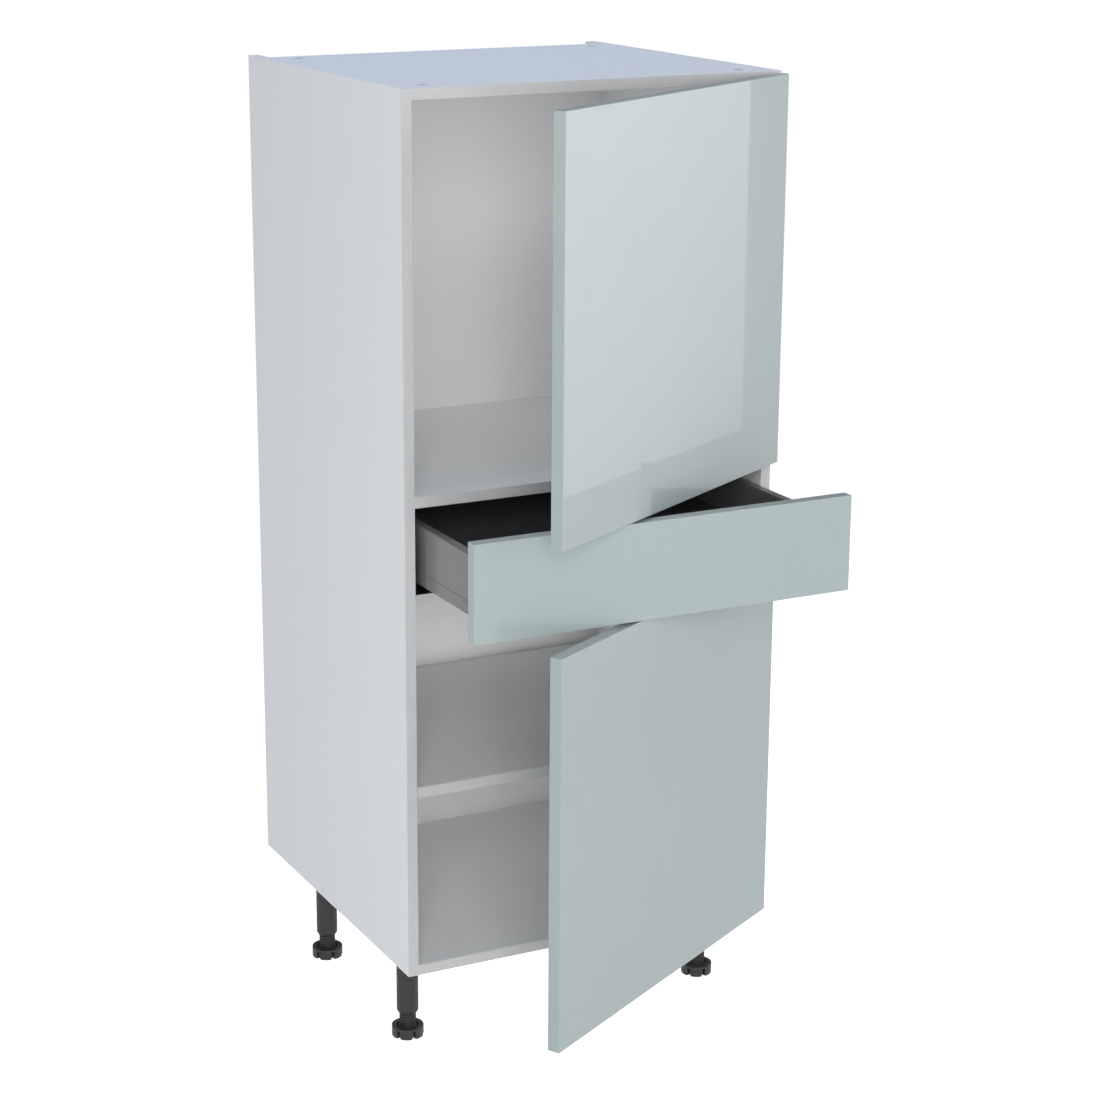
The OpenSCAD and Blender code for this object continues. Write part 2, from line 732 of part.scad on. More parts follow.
left_side();
right_side();
top_panel();
bottom_panel();
fixed_shelf();
lower_shelf();
back_panel();
carcass_edging();
fixed_shelf_edging();
lower_shelf_edging();
cam_locks();
cam_bolts();
dowels();
shelf_pins();
leg_sockets();
leg_screws();
front_left_leg();
front_right_leg();
rear_left_leg();
rear_right_leg();
front_left_foot();
front_right_foot();
rear_left_foot();
rear_right_foot();
hinge_plates();
plate_screws();
upper_hinge_arms();
lower_hinge_arms();
upper_hinge_links();
lower_hinge_links();
upper_door();
upper_hinge_cups();
upper_cup_screws();
upper_door_bumpers();
lower_door();
lower_hinge_cups();
lower_cup_screws();
lower_door_bumpers();
left_runner_rail();
right_runner_rail();
runner_screws();
left_runner_slide();
right_runner_slide();
left_runner_carrier();
right_runner_carrier();
drawer_front();
left_drawer_side();
right_drawer_side();
drawer_base();
drawer_back();
left_front_bracket();
right_front_bracket();
left_cover_cap();
right_cover_cap();
drawer_screws();
drawer_bumpers();
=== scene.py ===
"""The pantry cabinet's looks: materials, finer pieces, light and camera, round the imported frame."""

import json
import math

import bpy
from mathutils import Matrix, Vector


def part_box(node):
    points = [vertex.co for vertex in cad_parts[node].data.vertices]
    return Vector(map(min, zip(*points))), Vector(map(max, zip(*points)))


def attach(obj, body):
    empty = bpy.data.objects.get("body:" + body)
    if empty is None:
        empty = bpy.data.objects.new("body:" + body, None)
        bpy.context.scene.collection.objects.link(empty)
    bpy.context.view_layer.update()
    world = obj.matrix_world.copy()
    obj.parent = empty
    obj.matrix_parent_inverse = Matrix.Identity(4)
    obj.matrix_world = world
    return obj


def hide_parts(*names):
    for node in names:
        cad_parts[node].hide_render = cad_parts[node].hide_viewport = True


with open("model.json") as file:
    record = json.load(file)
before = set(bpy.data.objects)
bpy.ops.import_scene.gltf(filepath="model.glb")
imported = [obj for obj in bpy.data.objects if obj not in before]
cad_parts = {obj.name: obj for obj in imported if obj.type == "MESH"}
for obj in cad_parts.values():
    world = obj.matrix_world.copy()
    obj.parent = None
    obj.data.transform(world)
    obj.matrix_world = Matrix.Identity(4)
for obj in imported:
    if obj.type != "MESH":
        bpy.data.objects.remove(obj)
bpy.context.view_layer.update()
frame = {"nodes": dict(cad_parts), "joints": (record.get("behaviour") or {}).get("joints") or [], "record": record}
NODES = frame["nodes"]
JOINTS = {joint["name"]: joint for joint in frame["joints"]}
BODY_OF = {node: body for body, nodes in frame["record"]["behaviour"]["bodies"].items() for node in nodes}
SLOT_OF = {part["node"]: part["material_slot"] for part in frame["record"]["subparts"]}
MM = 0.001

# the doors stand open and the drawer stands out by what their joints need to shut
DOOR_OPEN = -JOINTS["upper_door_swing"]["range_deg"][0]
DOOR_AXIS = Vector(JOINTS["upper_door_swing"]["pos_m"])
DRAWER_OUT = -JOINTS["drawer_slide"]["range_m"][0]


# ---- stage, light and camera ----

WHITE = (1, 1, 1, 1)
CABINET_MIDDLE = (0, 0, 0.75)
FILL_SIZE = (0.5, 0.44)
MIRRORED_PANEL_SIZE = (1.5, 2.14)


def add_camera():
    """A long lens from the front left, a little above the cabinet's top."""
    data = bpy.data.cameras.new("camera")
    data.lens = 84.84
    data.sensor_width = 36
    data.shift_x = 0.0517
    data.shift_y = -0.0107
    camera = bpy.data.objects.new("camera", data)
    bpy.context.scene.collection.objects.link(camera)
    camera.location = (-1.7299, -3.4888, 1.7938)
    aim = Vector((-0.0358, -0.0272, 0.7227))
    camera.rotation_euler = (aim - camera.location).to_track_quat("-Z", "Y").to_euler()
    bpy.context.scene.camera = camera


def add_area(name, place, aim, size, power, colour=(1, 1, 1)):
    """A rectangular light at place, facing aim. size is its width and height."""
    data = bpy.data.lights.new(name, "AREA")
    data.shape = "RECTANGLE"
    data.size, data.size_y = size
    data.energy = power
    data.color = colour
    light = bpy.data.objects.new(name, data)
    bpy.context.scene.collection.objects.link(light)
    light.location = place
    light.rotation_euler = (Vector(aim) - Vector(place)).to_track_quat("-Z", "Y").to_euler()
    light.visible_camera = False
    return light


def fade_light(data, across, up):
    """Let an area light grow brighter or dimmer by these amounts across and up its face."""
    data.use_nodes = True
    nodes = data.node_tree.nodes
    links = data.node_tree.links
    place = nodes.new("ShaderNodeNewGeometry")
    parts = nodes.new("ShaderNodeSeparateXYZ")
    links.new(place.outputs["Parametric"], parts.inputs["Vector"])
    first = spread(nodes, links, parts.outputs["X"], 1.0, 1.0 + across, 0.0, 1.0)
    second = spread(nodes, links, parts.outputs["Y"], 0.0, up, 0.0, 1.0)
    total = nodes.new("ShaderNodeMath")
    links.new(first, total.inputs[0])
    links.new(second, total.inputs[1])
    links.new(total.outputs["Value"], nodes["Emission"].inputs["Strength"])


def add_fill(name, height, aim_height, power):
    """A level panel of soft light inside a compartment, facing straight up or down."""
    low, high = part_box("bottom_panel")
    middle = (low.y + high.y) / 2
    fill = add_area(name, (0, middle, height), (0, middle, aim_height), FILL_SIZE, power)
    fill.visible_glossy = False


def add_world():
    """Even soft light all round, seen as plain white behind the cabinet."""
    world = bpy.data.worlds.new("studio")
    world.use_nodes = True
    nodes = world.node_tree.nodes
    links = world.node_tree.links
    soft = nodes["Background"]
    soft.inputs["Color"].default_value = (0.95, 0.97, 1.0, 1)
    soft.inputs["Strength"].default_value = 0.31
    white = nodes.new("ShaderNodeBackground")
    white.inputs["Color"].default_value = WHITE
    seen = nodes.new("ShaderNodeLightPath")
    mix = nodes.new("ShaderNodeMixShader")
    links.new(seen.outputs["Is Camera Ray"], mix.inputs["Fac"])
    links.new(soft.outputs["Background"], mix.inputs[1])
    links.new(white.outputs["Background"], mix.inputs[2])
    links.new(mix.outputs["Shader"], nodes["World Output"].inputs["Surface"])
    bpy.context.scene.world = world


def add_mirrored_panel():
    """The soft panel that the upper door mirrors. It stands parallel to the open door."""
    turn = math.radians(DOOR_OPEN)
    along_panel = Vector((math.cos(turn), math.sin(turn), 0))
    facing = Vector((math.sin(turn), -math.cos(turn), 0))
    right_edge = Vector((2.19, -0.30, 1.55))
    middle = right_edge - along_panel * MIRRORED_PANEL_SIZE[0] / 2
    panel = add_area("side_panel", middle, middle - facing, MIRRORED_PANEL_SIZE, 19)
    panel.visible_diffuse = False
    fade_light(panel.data, -0.6, 1.7)


def add_lights():
    add_area("front_box", (-1.9, -4.2, 2.3), CABINET_MIDDLE, (1.8, 1.8), 102)
    add_area("low_box", (-1.4, -4.4, 0.8), (0, 0, 0.65), (2.2, 1.2), 38)
    add_area("right_box", (2.6, -4.0, 1.9), CABINET_MIDDLE, (2.0, 2.0), 38)
    add_area("left_box", (-4.2, -0.6, 1.6), CABINET_MIDDLE, (2.0, 2.0), 10)
    add_area("top_box", (0, 0.6, 3.6), (0, 0, 1.4), (3.0, 3.0), 37.5, (0.54, 0.71, 1.0))
    add_mirrored_panel()
    add_fill("shelf_fill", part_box("top_panel")[0].z - MM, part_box("fixed_shelf")[1].z, 0.28)
    for below, above, power in (("bottom_panel", "lower_shelf", 0.15), ("lower_shelf", "fixed_shelf", 0.45)):
        add_fill(below + "_fill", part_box(below)[1].z + MM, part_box(above)[0].z, power)


def add_floor():
    """A wide pale floor. It glows, so that it runs into the white behind it."""
    bpy.ops.mesh.primitive_plane_add(size=60, location=(0, 0, 0))
    floor = bpy.context.object
    floor.name = "floor"
    material, shader, nodes, links = new_material("studio_floor")
    shader.inputs["Base Color"].default_value = (0.75, 0.75, 0.75, 1)
    shader.inputs["Roughness"].default_value = 0.9
    shader.inputs["Emission Color"].default_value = WHITE
    seen = nodes.new("ShaderNodeLightPath")
    glow = spread(nodes, links, seen.outputs["Is Diffuse Ray"], 0.8, 0.06, 0.0, 1.0)
    links.new(glow, shader.inputs["Emission Strength"])
    floor.data.materials.append(material)


# ---- materials ----

def new_material(name):
    material = bpy.data.materials.new(name)
    material.use_nodes = True
    nodes = material.node_tree.nodes
    return material, nodes["Principled BSDF"], nodes, material.node_tree.links


def object_coordinates(nodes, links, stretch=(1, 1, 1)):
    """The piece's own coordinates, stretched along its axes."""
    place = nodes.new("ShaderNodeTexCoord")
    mapping = nodes.new("ShaderNodeMapping")
    mapping.inputs["Scale"].default_value = stretch
    links.new(place.outputs["Object"], mapping.inputs["Vector"])
    return mapping.outputs["Vector"]


def noise(nodes, links, vector, scale, detail, roughness=0.55):
    texture = nodes.new("ShaderNodeTexNoise")
    texture.inputs["Scale"].default_value = scale
    texture.inputs["Detail"].default_value = detail
    texture.inputs["Roughness"].default_value = roughness
    links.new(vector, texture.inputs["Vector"])
    return texture.outputs["Fac"]


def spread(nodes, links, value, low, high, from_low=0.3, from_high=0.7):
    """Maps a value from one range to another."""
    ranger = nodes.new("ShaderNodeMapRange")
    ranger.inputs["From Min"].default_value = from_low
    ranger.inputs["From Max"].default_value = from_high
    ranger.inputs["To Min"].default_value = low
    ranger.inputs["To Max"].default_value = high
    links.new(value, ranger.inputs["Value"])
    return ranger.outputs["Result"]


def two_tone(nodes, links, factor, first, second):
    """A colour between first and second, by factor."""
    mix = nodes.new("ShaderNodeMix")
    mix.data_type = "RGBA"
    mix.inputs["A"].default_value = (*first, 1)
    mix.inputs["B"].default_value = (*second, 1)
    links.new(factor, mix.inputs["Factor"])
    return mix.outputs["Result"]


def bump(nodes, links, height, distance, strength):
    node = nodes.new("ShaderNodeBump")
    node.inputs["Distance"].default_value = distance
    node.inputs["Strength"].default_value = strength
    links.new(height, node.inputs["Height"])
    return node.outputs["Normal"]


def edge_wear(nodes, links, radius):
    """1 on sharp edges and 0 on flat faces."""
    bevel = nodes.new("ShaderNodeBevel")
    bevel.samples = 4
    bevel.inputs["Radius"].default_value = radius
    geometry = nodes.new("ShaderNodeNewGeometry")
    dot = nodes.new("ShaderNodeVectorMath")
    dot.operation = "DOT_PRODUCT"
    links.new(bevel.outputs["Normal"], dot.inputs[0])
    links.new(geometry.outputs["Normal"], dot.inputs[1])
    return spread(nodes, links, dot.outputs["Value"], 1.0, 0.0, 0.9, 0.995)


def melamine():
    """Matt white melamine: a very fine pearl emboss and faint handling marks."""
    material, shader, nodes, links = new_material("white_melamine")
    place = object_coordinates(nodes, links)
    tone = noise(nodes, links, place, 5, 3)
    colour = two_tone(nodes, links, tone, (0.81, 0.815, 0.82), (0.83, 0.835, 0.84))
    links.new(colour, shader.inputs["Base Color"])
    marks = noise(nodes, links, place, 30, 6, 0.7)
    links.new(spread(nodes, links, marks, 0.44, 0.58), shader.inputs["Roughness"])
    pearl = noise(nodes, links, place, 1400, 2)
    links.new(bump(nodes, links, pearl, 0.00004, 0.5), shader.inputs["Normal"])
    shader.inputs["Specular IOR Level"].default_value = 0.3
    return material


def edging():
    """Plastic edging strip: smoother and greyer than the board."""
    material, shader, nodes, links = new_material("edging_strip")
    place = object_coordinates(nodes, links)
    tone = noise(nodes, links, place, 9, 3)
    colour = two_tone(nodes, links, tone, (0.50, 0.50, 0.50), (0.53, 0.53, 0.525))
    links.new(colour, shader.inputs["Base Color"])
    shader.inputs["Roughness"].default_value = 0.35
    ripple = noise(nodes, links, place, 700, 2)
    links.new(bump(nodes, links, ripple, 0.00003, 0.5), shader.inputs["Normal"])
    return material


def back_foil():
    """Foil on thin fibreboard: matt, with a soft fibrous unevenness."""
    material, shader, nodes, links = new_material("back_foil")
    place = object_coordinates(nodes, links)
    tone = noise(nodes, links, place, 3, 4)
    colour = two_tone(nodes, links, tone, (0.80, 0.80, 0.795), (0.82, 0.82, 0.815))
    links.new(colour, shader.inputs["Base Color"])
    fibres = noise(nodes, links, object_coordinates(nodes, links, (1, 1, 0.15)), 420, 4, 0.7)
    links.new(spread(nodes, links, fibres, 0.5, 0.62), shader.inputs["Roughness"])
    links.new(bump(nodes, links, fibres, 0.00005, 0.5), shader.inputs["Normal"])
    return material


def gloss_lacquer():
    """Gloss grey-green lacquer under a clear coat with a faint orange peel."""
    material, shader, nodes, links = new_material("gloss_grey_green")
    place = object_coordinates(nodes, links)
    tone = noise(nodes, links, place, 4, 3)
    colour = two_tone(nodes, links, tone, (0.307, 0.362, 0.358), (0.320, 0.376, 0.372))
    links.new(colour, shader.inputs["Base Color"])
    smears = noise(nodes, links, place, 14, 5, 0.65)
    links.new(spread(nodes, links, smears, 0.30, 0.38), shader.inputs["Roughness"])
    shader.inputs["Coat Weight"].default_value = 0.6
    shader.inputs["Coat Roughness"].default_value = 0.02
    shader.inputs["Coat IOR"].default_value = 1.5
    shader.inputs["Specular IOR Level"].default_value = 0.25
    peel = noise(nodes, links, place, 90, 2, 0.4)
    links.new(bump(nodes, links, peel, 0.00002, 0.25), shader.inputs["Coat Normal"])
    return material


def plain_metal(name, colour, low, high, grain=(1, 1, 1)):
    """Bare or plated metal with a fine grain and duller, darker patches."""
    material, shader, nodes, links = new_material(name)
    place = object_coordinates(nodes, links)
    tone = noise(nodes, links, place, 60, 4)
    darker = tuple(0.86 * part for part in colour)
    links.new(two_tone(nodes, links, tone, colour, darker), shader.inputs["Base Color"])
    shader.inputs["Metallic"].default_value = 1.0
    fine = noise(nodes, links, object_coordinates(nodes, links, grain), 500, 3)
    links.new(spread(nodes, links, fine, low, high), shader.inputs["Roughness"])
    links.new(bump(nodes, links, fine, 0.00002, 0.5), shader.inputs["Normal"])
    return material


def beech():
    """Turned beech dowel with grain along its length."""
    material, shader, nodes, links = new_material("beech_dowel")
    grain = noise(nodes, links, object_coordinates(nodes, links, (0.08, 1, 1)), 900, 5, 0.7)
    colour = two_tone(nodes, links, grain, (0.62, 0.45, 0.29), (0.46, 0.31, 0.18))
    links.new(colour, shader.inputs["Base Color"])
    shader.inputs["Roughness"].default_value = 0.65
    links.new(bump(nodes, links, grain, 0.0001, 0.6), shader.inputs["Normal"])
    return material


def moulded_plastic():
    """Dark grey moulded plastic: fine spark texture, rubbed lighter on its edges."""
    material, shader, nodes, links = new_material("dark_moulded_plastic")
    place = object_coordinates(nodes, links)
    wear = edge_wear(nodes, links, 0.0006)
    colour = two_tone(nodes, links, wear, (0.025, 0.025, 0.0225), (0.040, 0.040, 0.037))
    links.new(colour, shader.inputs["Base Color"])
    mottled = noise(nodes, links, place, 160, 4, 0.6)
    links.new(spread(nodes, links, mottled, 0.42, 0.56), shader.inputs["Roughness"])
    shader.inputs["Specular IOR Level"].default_value = 0.35
    spark = noise(nodes, links, place, 1500, 2)
    links.new(bump(nodes, links, spark, 0.00005, 0.6), shader.inputs["Normal"])
    return material


def coated_steel(name, colour, low, high):
    """Powder-coated sheet steel with a light orange peel and brighter rubbed edges."""
    material, shader, nodes, links = new_material(name)
    place = object_coordinates(nodes, links)
    rubbed = tuple(1.3 * part for part in colour)
    wear = edge_wear(nodes, links, 0.0004)
    links.new(two_tone(nodes, links, wear, colour, rubbed), shader.inputs["Base Color"])
    smears = noise(nodes, links, place, 12, 4, 0.5)
    links.new(spread(nodes, links, smears, low, high), shader.inputs["Roughness"])
    peel = noise(nodes, links, place, 320, 2)
    links.new(bump(nodes, links, peel, 0.00001, 0.3), shader.inputs["Normal"])
    return material


def dark_foil():
    """Near-black foil on the drawer's base and back, with a faint pressed grain."""
    material, shader, nodes, links = new_material("near_black_foil")
    grain = noise(nodes, links, object_coordinates(nodes, links, (1, 0.2, 1)), 500, 4, 0.65)
    colour = two_tone(nodes, links, grain, (0.062, 0.064, 0.074), (0.078, 0.080, 0.092))
    links.new(colour, shader.inputs["Base Color"])
    links.new(spread(nodes, links, grain, 0.42, 0.6), shader.inputs["Roughness"])
    links.new(bump(nodes, links, grain, 0.00006, 0.5), shader.inputs["Normal"])
    return material


def clear_rubber():
    """Soft clear bumper, slightly milky."""
    material, shader, nodes, links = new_material("milky_bumper")
    place = object_coordinates(nodes, links)
    cloud = noise(nodes, links, place, 300, 3)
    colour = two_tone(nodes, links, cloud, (0.74, 0.75, 0.74), (0.82, 0.82, 0.81))
    links.new(colour, shader.inputs["Base Color"])
    shader.inputs["Roughness"].default_value = 0.25
    shader.inputs["Subsurface Weight"].default_value = 0.3
    shader.inputs["Subsurface Scale"].default_value = 0.002
    links.new(bump(nodes, links, cloud, 0.00005, 0.4), shader.inputs["Normal"])
    return material


MATERIALS = {
    "white_board": melamine(),
    "back_board": back_foil(),
    "edging": edging(),
    "cam_zinc": plain_metal("cam_zinc", (0.30, 0.31, 0.34), 0.35, 0.5),
    "plated_steel": plain_metal("nickel_plate", (0.62, 0.62, 0.63), 0.18, 0.3, (1, 0.1, 1)),
    "beech": beech(),
    "leg_plastic": moulded_plastic(),
    "gloss_front": gloss_lacquer(),
    "bumper": clear_rubber(),
    "black_rail": coated_steel("black_coated_steel", (0.012, 0.012, 0.014), 0.35, 0.5),
    "drawer_metal": coated_steel("dark_grey_steel", (0.121, 0.121, 0.116), 0.2, 0.25),
    "dark_board": dark_foil(),
}


# ---- modelling helpers ----

def clear_selection():
    bpy.ops.object.select_all(action="DESELECT")


def only(piece):
    clear_selection()
    piece.select_set(True)
    bpy.context.view_layer.objects.active = piece


def settle(piece):
    """Puts the piece's place into its mesh, so its object sits at the origin."""
    only(piece)
    bpy.ops.object.transform_apply(location=True, rotation=True, scale=True)
    return piece


def face_outwards(piece):
    """Turns the faces of a flipped or wound piece outwards again."""
    only(piece)
    bpy.ops.object.mode_set(mode="EDIT")
    bpy.ops.mesh.select_all(action="SELECT")
    bpy.ops.mesh.normals_make_consistent(inside=False)
    bpy.ops.object.mode_set(mode="OBJECT")
    return piece


def along(axis, length):
    """A step of that length along one axis."""
    return Vector([length if letter == axis else 0 for letter in "xyz"])


def block(name, low, high):
    """A plain box between two corners, to be shaped further."""
    clear_selection()
    low, high = Vector(low), Vector(high)
    bpy.ops.mesh.primitive_cube_add(size=1, location=(low + high) / 2, scale=high - low)
    piece = bpy.context.object
    piece.name = name
    return settle(piece)


# turns an upright bar to lie along each axis
UPRIGHT_TO = {"x": (0, math.pi / 2, 0), "y": (-math.pi / 2, 0, 0), "z": (0, 0, 0)}


def rod(name, axis, start, radius, length, sides=48, end_radius=None):
    """A round bar that runs from start along an axis; end_radius tapers it."""
    clear_selection()
    place = {"location": Vector(start) + along(axis, length) / 2, "rotation": UPRIGHT_TO[axis]}
    if end_radius is None:
        bpy.ops.mesh.primitive_cylinder_add(vertices=sides, radius=radius, depth=length, **place)
    else:
        bpy.ops.mesh.primitive_cone_add(
            vertices=sides, radius1=radius, radius2=end_radius, depth=length, **place)
    piece = bpy.context.object
    piece.name = name
    return settle(piece)


def ease_edges(piece, radius, steps=2, angle=35):
    """Rounds every edge sharper than angle."""
    only(piece)
    bevel = piece.modifiers.new("bevel", "BEVEL")
    bevel.width = radius
    bevel.segments = steps
    bevel.limit_method = "ANGLE"
    bevel.angle_limit = math.radians(angle)
    bpy.ops.object.modifier_apply(modifier=bevel.name)
    return piece


def cut(piece, *cutters):
    """Takes each cutter's shape out of the piece."""
    for cutter in cutters:
        only(piece)
        boolean = piece.modifiers.new("cut", "BOOLEAN")
        boolean.operation = "DIFFERENCE"
        boolean.solver = "EXACT"
        boolean.object = cutter
        bpy.ops.object.modifier_apply(modifier=boolean.name)
        bpy.data.objects.remove(cutter, do_unlink=True)
    return piece


def joined(name, pieces):
    """One piece out of several, under a new name."""
    clear_selection()
    for piece in pieces:
        piece.select_set(True)
    bpy.context.view_layer.objects.active = pieces[0]
    if len(pieces) > 1:
        bpy.ops.object.join()
    pieces[0].name = name
    return pieces[0]


def copied(piece, name, shift=(0, 0, 0)):
    """A copy with its own mesh, moved by shift."""
    only(piece)
    bpy.ops.object.duplicate(linked=False)
    twin = bpy.context.object
    twin.name = name
    twin.location = Vector(shift)
    return settle(twin)


def mirrored(piece, name):
    """The same piece for the other side of the cabinet."""
    twin = copied(piece, name)
    twin.scale = (-1, 1, 1)
    return face_outwards(settle(twin))


def turned(piece, axis_point, angle):
    """Turns the piece about an upright axis through axis_point, by degrees."""
    only(piece)
    bpy.context.scene.cursor.location = axis_point
    bpy.ops.object.origin_set(type="ORIGIN_CURSOR")
    piece.rotation_euler = (0, 0, math.radians(angle))
    return settle(piece)


def finish_piece(piece, node, smooth=35):
    """Shades the piece, gives it its node's finish and lets it stand for that node."""
    only(piece)
    bpy.ops.object.shade_smooth_by_angle(angle=math.radians(smooth))
    flat = piece.modifiers.new("flat_faces", "WEIGHTED_NORMAL")
    flat.keep_sharp = True
    bpy.ops.object.modifier_apply(modifier=flat.name)
    piece.data.materials.clear()
    piece.data.materials.append(MATERIALS[SLOT_OF[node]])
    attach(piece, BODY_OF[node])
    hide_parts(node)


def softened_copy(node, radius):
    """A node's own shape with its edges rounded, in place of the node."""
    clear_selection()
    NODES[node].select_set(True)
    bpy.context.view_layer.objects.active = NODES[node]
    bpy.ops.object.duplicate(linked=False)
    piece = bpy.context.object
    piece.name = node + "_softened"
    piece.parent = None
    bpy.ops.object.mode_set(mode="EDIT")
    bpy.ops.mesh.select_all(action="SELECT")
    bpy.ops.mesh.remove_doubles(threshold=0.000002)
    bpy.ops.mesh.dissolve_limited(angle_limit=math.radians(1))
    bpy.ops.object.mode_set(mode="OBJECT")
    ease_edges(piece, radius)
    finish_piece(piece, node)


# ---- fronts ----

FRONT_EASE = 0.9 * MM
CUP_RADIUS = 17.5 * MM
CUP_DEPTH = 13 * MM
CUP_FROM_AXIS = 16 * MM
CUP_SCREW_REACH = 24 * MM
CUP_EAR = 7 * MM


def hinge_heights(door):
    """The heights of a door's two hinges, from the ends of its cups."""
    low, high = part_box(door + "_hinge_cups")
    reach = CUP_SCREW_REACH + CUP_EAR
    return low.z + reach, high.z - reach


def shut_faces():
    """The outer and rear faces of the shut fronts."""
    low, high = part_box("drawer_front")
    return low.y + DRAWER_OUT, high.y + DRAWER_OUT


def make_front(node, bottom, top):
    """A shut front's slab with eased edges, as wide as the drawer front."""
    low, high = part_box("drawer_front")
    outer, rear = shut_faces()
    slab = block(node + "_slab", (low.x, outer, bottom), (high.x, rear, top))
    return ease_edges(slab, FRONT_EASE, 4)


def make_door(door):
    """A door with its cup bores, made shut and then turned to where it stands."""
    node = door + "_door"
    low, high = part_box(node)
    slab = make_front(node, low.z, high.z)
    rear = shut_faces()[1]
    for height in hinge_heights(door):
        start = (DOOR_AXIS.x - CUP_FROM_AXIS, rear - CUP_DEPTH, height)
        cut(slab, rod("cup_bore", "y", start, CUP_RADIUS, 2 * CUP_DEPTH, 64))
    turned(slab, DOOR_AXIS, DOOR_OPEN)
    finish_piece(slab, node)


def make_drawer_front():
    """The drawer front, made shut and then brought to where it stands."""
    low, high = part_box("drawer_front")
    slab = make_front("drawer_front", low.z, high.z)
    slab.location.y = -DRAWER_OUT
    finish_piece(settle(slab), "drawer_front")


# ---- legs ----

FLUTES = 18
FLUTE_WIDTH = 2.2 * MM
FLUTE_DEPTH = 0.45 * MM
FLUTE_START = 14 * MM
FLUTE_STOP = 8 * MM
TUBE_TAPER = 5 * MM
TUBE_TAPER_IN = 3 * MM
STEM_BORE = 13.05 * MM


def make_leg_tube():
    """The front left leg's tube: a tapered foot end, flutes and the stem's bore."""
    low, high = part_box("front_left_leg")
    axis = (low + high) / 2
    height = high.z - low.z
    radius = (high.x - low.x) / 2
    base = Vector((axis.x, axis.y, low.z))
    tube = rod("leg_tube", "z", base + along("z", TUBE_TAPER), radius, height - TUBE_TAPER, 96)
    chamfer = rod("leg_chamfer", "z", base, radius - TUBE_TAPER_IN, TUBE_TAPER, 96, radius)
    ease_edges(tube, 0.4 * MM)
    flute_length = height - FLUTE_START - FLUTE_STOP
    reach = radius + FLUTE_WIDTH / 2 - FLUTE_DEPTH
    for turn in range(FLUTES):
        angle = 2 * math.pi * turn / FLUTES
        flute = rod("flute", "z", base + along("z", FLUTE_START), FLUTE_WIDTH / 2, flute_length, 12)
        flute.location = (math.cos(angle) * reach, math.sin(angle) * reach, 0)
        cut(tube, settle(flute))
    for part in (tube, chamfer):
        start = base - along("z", TUBE_TAPER)
        cut(part, rod("bore", "z", start, STEM_BORE, height + 2 * TUBE_TAPER, 64))
    return joined("leg_tube", [tube, chamfer])


THREAD_PITCH = 4.4 * MM
THREAD_DEPTH = 1.55 * MM
STEM_RADIUS = 11.4 * MM
DISC_HEIGHT = 16.5 * MM
DISH_DEPTH = 5 * MM
DISH_RIM = 8 * MM
COLLAR_RADIUS = 14.4 * MM
SLOTS = 6
FIRST_SLOT = 30
SLOT_WIDTH = 4.4 * MM
SLOT_HEIGHT = 13 * MM


def make_thread(axis, bottom, top):
    """A ridge with a sloped section, wound round the stem."""
    clear_selection()
    bpy.ops.mesh.primitive_plane_add(size=1, location=(0, 0, 0), rotation=(math.pi / 2, 0, 0))
    ridge = bpy.context.object
    ridge.scale = (THREAD_DEPTH + 0.4 * MM, 0.6 * THREAD_PITCH, 1)
    ridge.location = (STEM_RADIUS + THREAD_DEPTH / 2 - 0.2 * MM, 0, bottom + 0.3 * THREAD_PITCH)
    settle(ridge)
    bpy.ops.object.mode_set(mode="EDIT")
    bpy.ops.mesh.select_all(action="DESELECT")
    bpy.ops.object.mode_set(mode="OBJECT")
    for corner in ridge.data.vertices:
        corner.select = corner.co.x > STEM_RADIUS
    bpy.ops.object.mode_set(mode="EDIT")
    bpy.ops.transform.resize(value=(1, 1, 0.4))
    bpy.ops.mesh.select_all(action="SELECT")
    bpy.ops.mesh.delete(type="ONLY_FACE")
    bpy.ops.object.mode_set(mode="OBJECT")
    screw = ridge.modifiers.new("wind", "SCREW")
    screw.axis = "Z"
    screw.screw_offset = THREAD_PITCH
    screw.iterations = int((top - bottom) / THREAD_PITCH)
    screw.steps = 40
    screw.render_steps = 40
    only(ridge)
    bpy.ops.object.modifier_apply(modifier=screw.name)
    bpy.ops.object.mode_set(mode="EDIT")
    bpy.ops.mesh.select_all(action="SELECT")
    bpy.ops.mesh.fill_holes(sides=0)
    bpy.ops.object.mode_set(mode="OBJECT")
    ridge.location = (axis.x, axis.y, 0)
    return settle(face_outwards(ridge))


